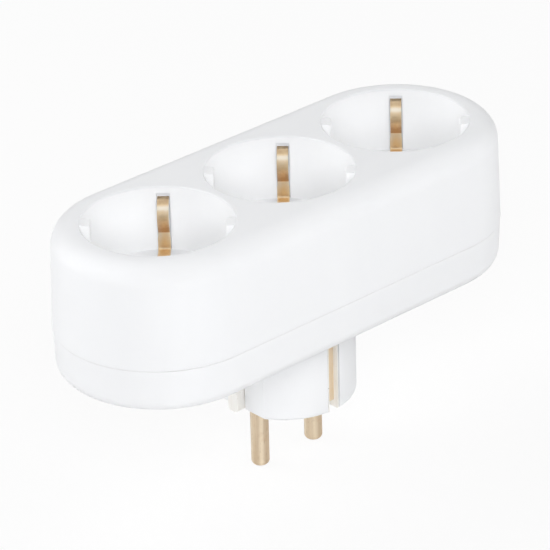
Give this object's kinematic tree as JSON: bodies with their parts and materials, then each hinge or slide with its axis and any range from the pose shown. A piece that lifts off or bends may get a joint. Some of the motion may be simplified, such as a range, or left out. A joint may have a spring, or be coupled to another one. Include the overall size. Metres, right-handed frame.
{
  "type": "multi socket adapter",
  "caption": "Long rounded mains adapter: a row of round earthed sockets on top, and under its middle a round plug with brass pins and side earth contacts.",
  "frame": {"origin": "centre of the plug's end face, midway between its pins", "axes": "+X along the body, +Z from the plug towards the socket mouths"},
  "size_m": [0.1368, 0.0548, 0.0819],
  "materials": {
    "white_plastic": "moulded, satin gloss",
    "natural_plastic": "moulded, uncoloured",
    "brass_strip": "stamped and bent strip",
    "turned_brass": "turned",
    "screw_steel": "zinc plated"
  },
  "bodies": {
    "root": {"upper_casing": "white_plastic", "base": "white_plastic", "pin_carrier": "natural_plastic", "left_pin": "turned_brass", "right_pin": "turned_brass", "front_bar": "brass_strip", "rear_bar": "brass_strip", "earth_bar": "brass_strip", "earth_yoke": "brass_strip", "earth_rivets": "turned_brass", "casing_screws": "screw_steel", "earth_strap_1": "brass_strip", "front_clip_1": "brass_strip", "rear_clip_1": "brass_strip", "earth_strap_2": "brass_strip", "front_clip_2": "brass_strip", "rear_clip_2": "brass_strip", "earth_strap_3": "brass_strip", "front_clip_3": "brass_strip", "rear_clip_3": "brass_strip"}
  },
  "joints": []
}
